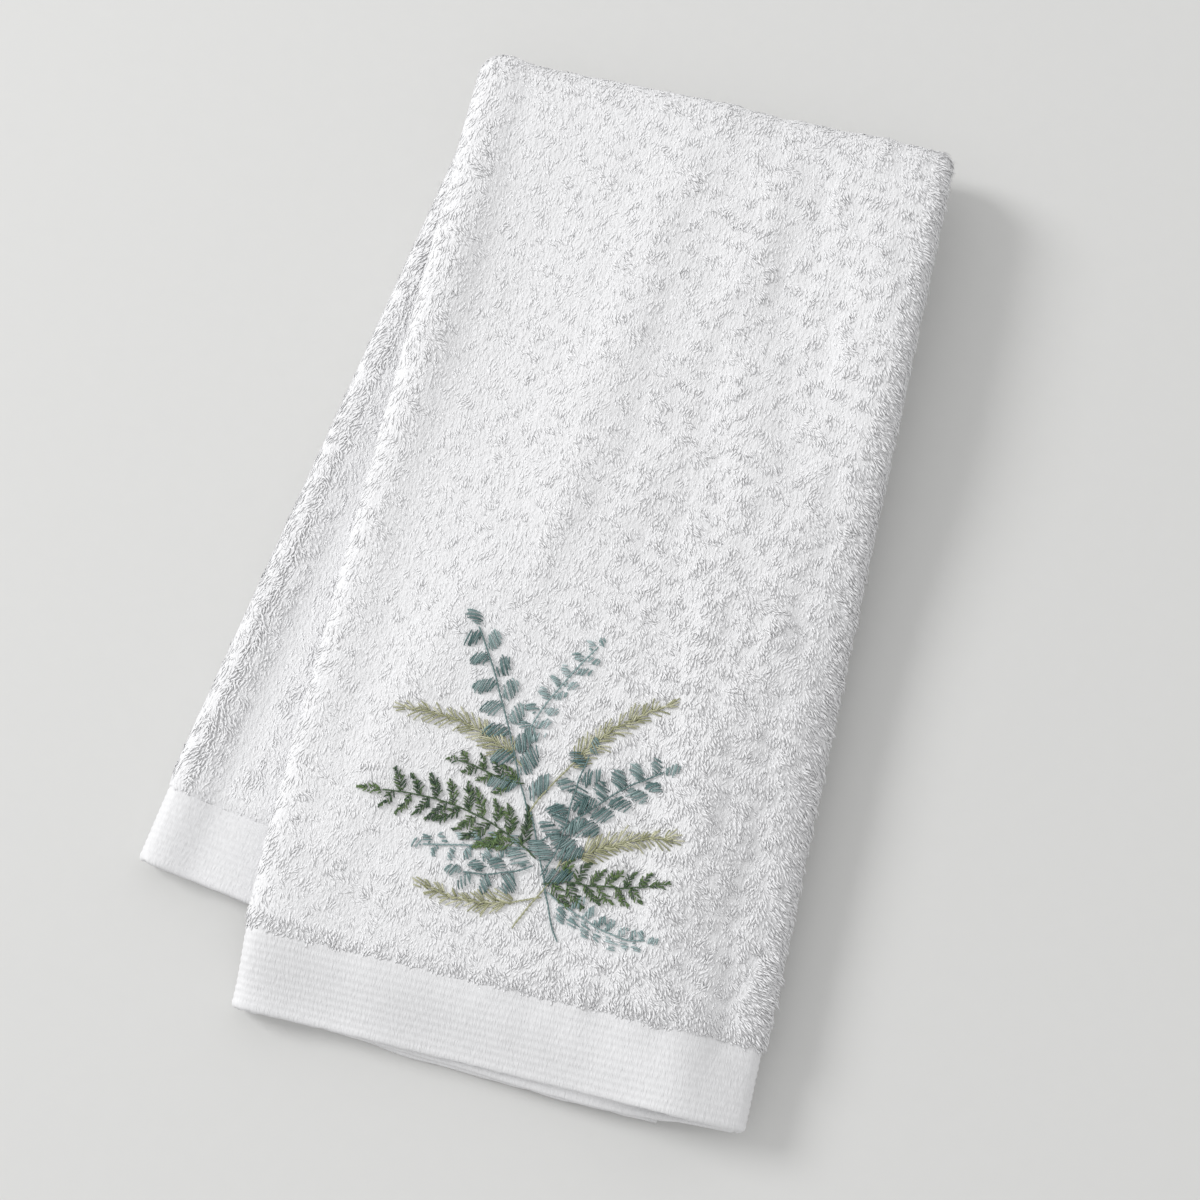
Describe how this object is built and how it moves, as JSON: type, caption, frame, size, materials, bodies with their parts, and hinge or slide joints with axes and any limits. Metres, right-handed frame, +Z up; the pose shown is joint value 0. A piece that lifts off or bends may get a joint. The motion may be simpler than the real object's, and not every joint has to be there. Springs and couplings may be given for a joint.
{
  "type": "folded hand towel",
  "caption": "White terry hand towel folded narrow and then in half, its rear half turned a little so that its edge and hem show, with a leafy embroidered spray near the hem.",
  "frame": {"origin": "Middle of the folded towel's outline, on the surface that it lies on.", "axes": "+Z is up, out of the surface. +Y runs along the folded towel from its loose hems to the fold across its middle. +X runs across the towel, away from the side where the rear half shows."},
  "size_m": [0.187, 0.3048, 0.0246],
  "materials": {
    "white_terry": "looped cotton pile with flat woven hems, matt"
  },
  "bodies": {
    "root": {"hand_towel": "white_terry"}
  },
  "joints": []
}
